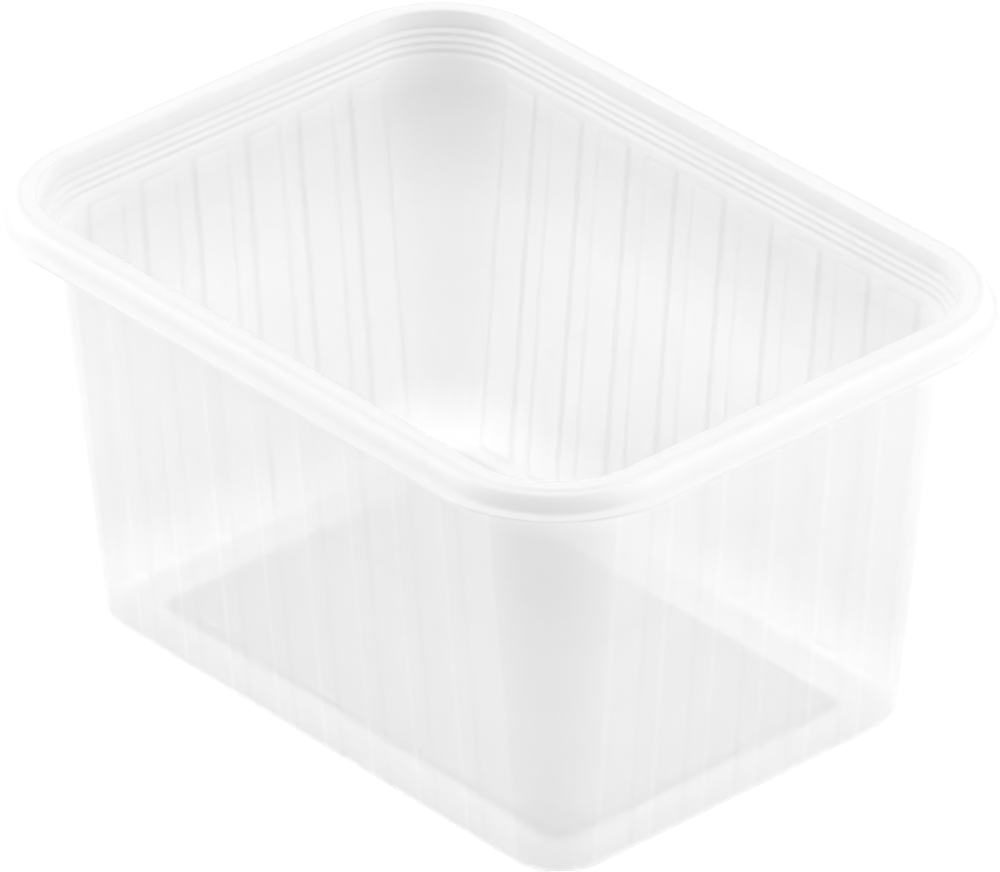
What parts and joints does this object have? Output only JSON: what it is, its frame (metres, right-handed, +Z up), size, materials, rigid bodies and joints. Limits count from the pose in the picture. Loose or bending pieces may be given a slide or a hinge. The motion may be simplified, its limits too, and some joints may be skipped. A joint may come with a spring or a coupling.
{
  "type": "rectangular takeaway container",
  "caption": "Empty rectangular takeaway tub in translucent plastic, with rounded corners, fluted tapering walls, a stepped mouth and a wide rolled rim that a lid snaps onto.",
  "frame": {"origin": "middle of the foot, where the tub stands", "axes": "+X along the long side, +Y along the short side, +Z up out of the mouth"},
  "size_m": [0.19, 0.1436, 0.1028],
  "materials": {
    "polypropylene": "milky translucent natural plastic with a soft gloss"
  },
  "bodies": {
    "root": {"tub": "polypropylene"}
  },
  "joints": []
}
